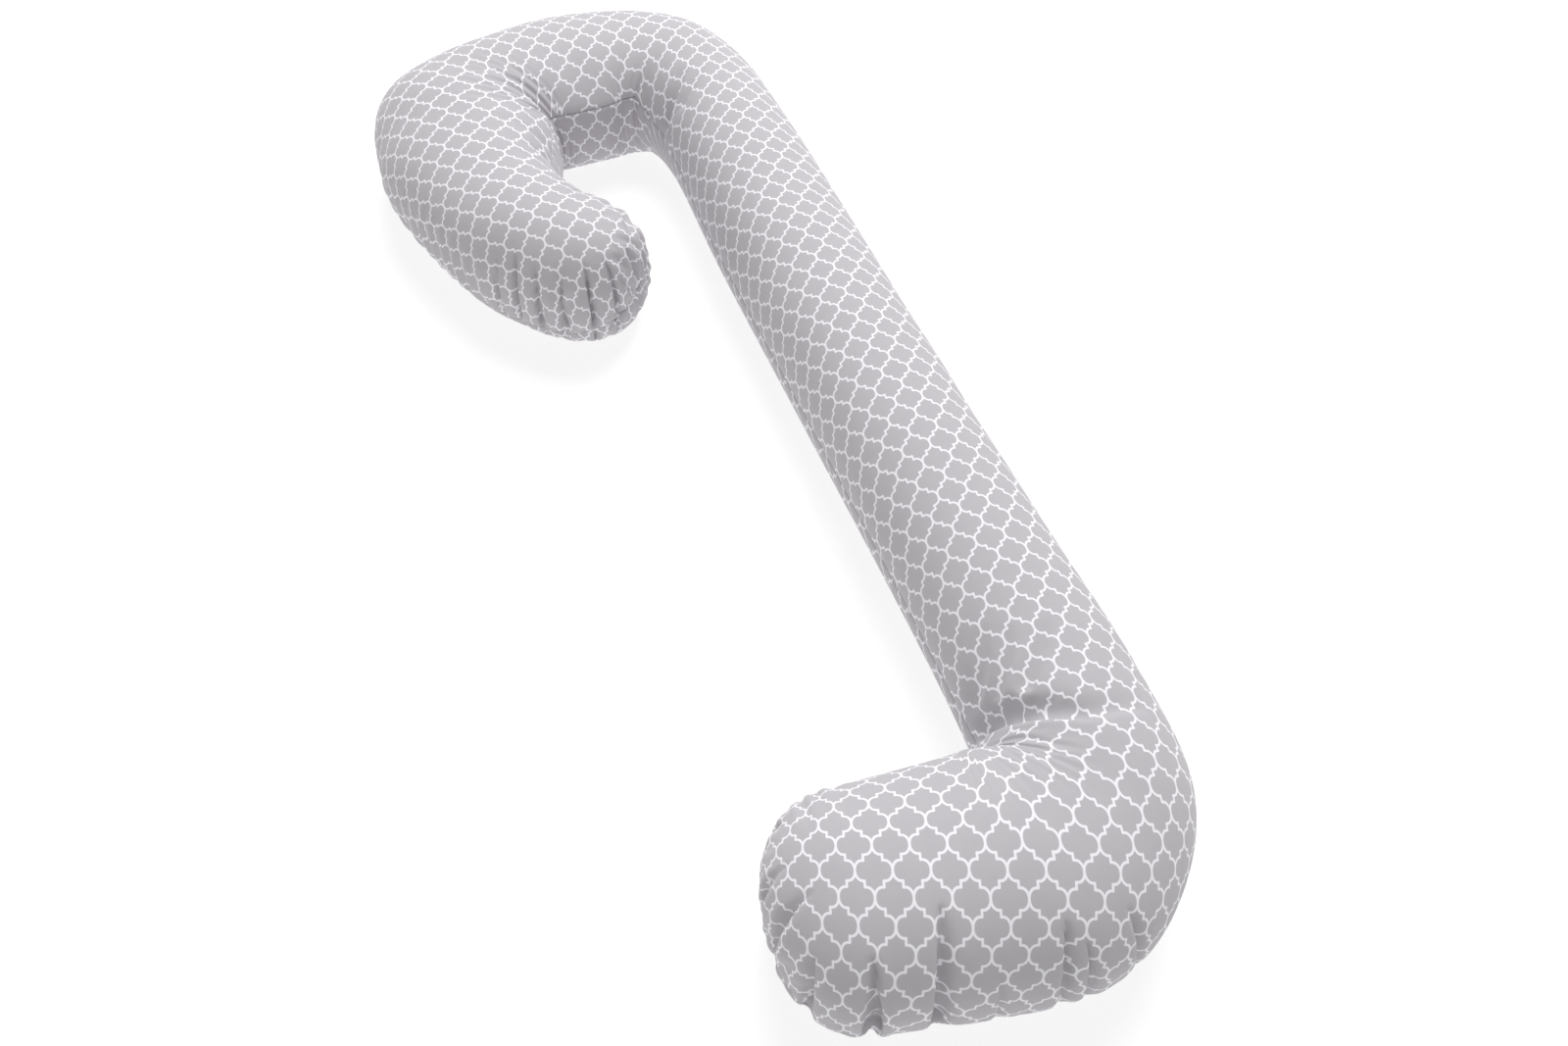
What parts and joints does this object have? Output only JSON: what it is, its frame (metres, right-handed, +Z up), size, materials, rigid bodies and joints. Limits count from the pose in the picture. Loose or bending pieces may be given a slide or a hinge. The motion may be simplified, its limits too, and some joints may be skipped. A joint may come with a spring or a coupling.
{
  "type": "nursing pillow",
  "caption": "Long stuffed body and nursing pillow with a wide foot, a straight back and a curled hook at the head, in a removable zip cover.",
  "frame": {"origin": "middle of the whole pillow's bounding box, on the surface that it lies on", "axes": "+Z up from the surface, +Y from the foot end to the head end along the straight back, and +X out of the back edge that holds the zip, so the foot and the hook point to -X"},
  "size_m": [0.5489, 1.5206, 0.17],
  "materials": {
    "cover_fabric": "woven cotton printed with a white lattice on warm light grey",
    "casing_fabric": "plain off-white non-woven casing",
    "fibre": "white polyester hollow fibre",
    "zip_tape": "woven polyester tape, light grey",
    "zip_nylon": "nylon coil, light grey",
    "zip_metal": "enamelled zinc, light grey",
    "thread": "spun polyester thread, near white",
    "label_satin": "white satin ribbon, blank"
  },
  "bodies": {
    "pillow": {"cover_top_panel": "cover_fabric", "cover_bottom_panel": "cover_fabric", "cover_seam_overlock": "thread", "care_label": "label_satin", "zip_tape_upper": "zip_tape", "zip_tape_lower": "zip_tape", "zip_coil_upper": "zip_nylon", "zip_coil_lower": "zip_nylon", "zip_top_stops": "zip_nylon", "zip_bottom_stop": "zip_nylon", "zip_stitching_upper": "thread", "zip_stitching_lower": "thread", "casing_top_panel": "casing_fabric", "casing_bottom_panel": "casing_fabric", "casing_seam_overlock": "thread", "casing_closing_stitch": "thread", "fibre_fill": "fibre"},
    "slider": {"zip_slider": "zip_metal"},
    "puller": {"zip_puller": "zip_metal"}
  },
  "joints": [
    {"name": "slider_slide", "type": "slide", "parent": "pillow", "child": "slider", "axis": [0, 1, 0], "range_m": [0, 0.5445]},
    {"name": "puller_hinge", "type": "hinge", "parent": "slider", "child": "puller", "pos_m": [0.27315, -0.30016, 0.073], "axis": [0, 0, -1], "range_deg": [0, 165]}
  ]
}
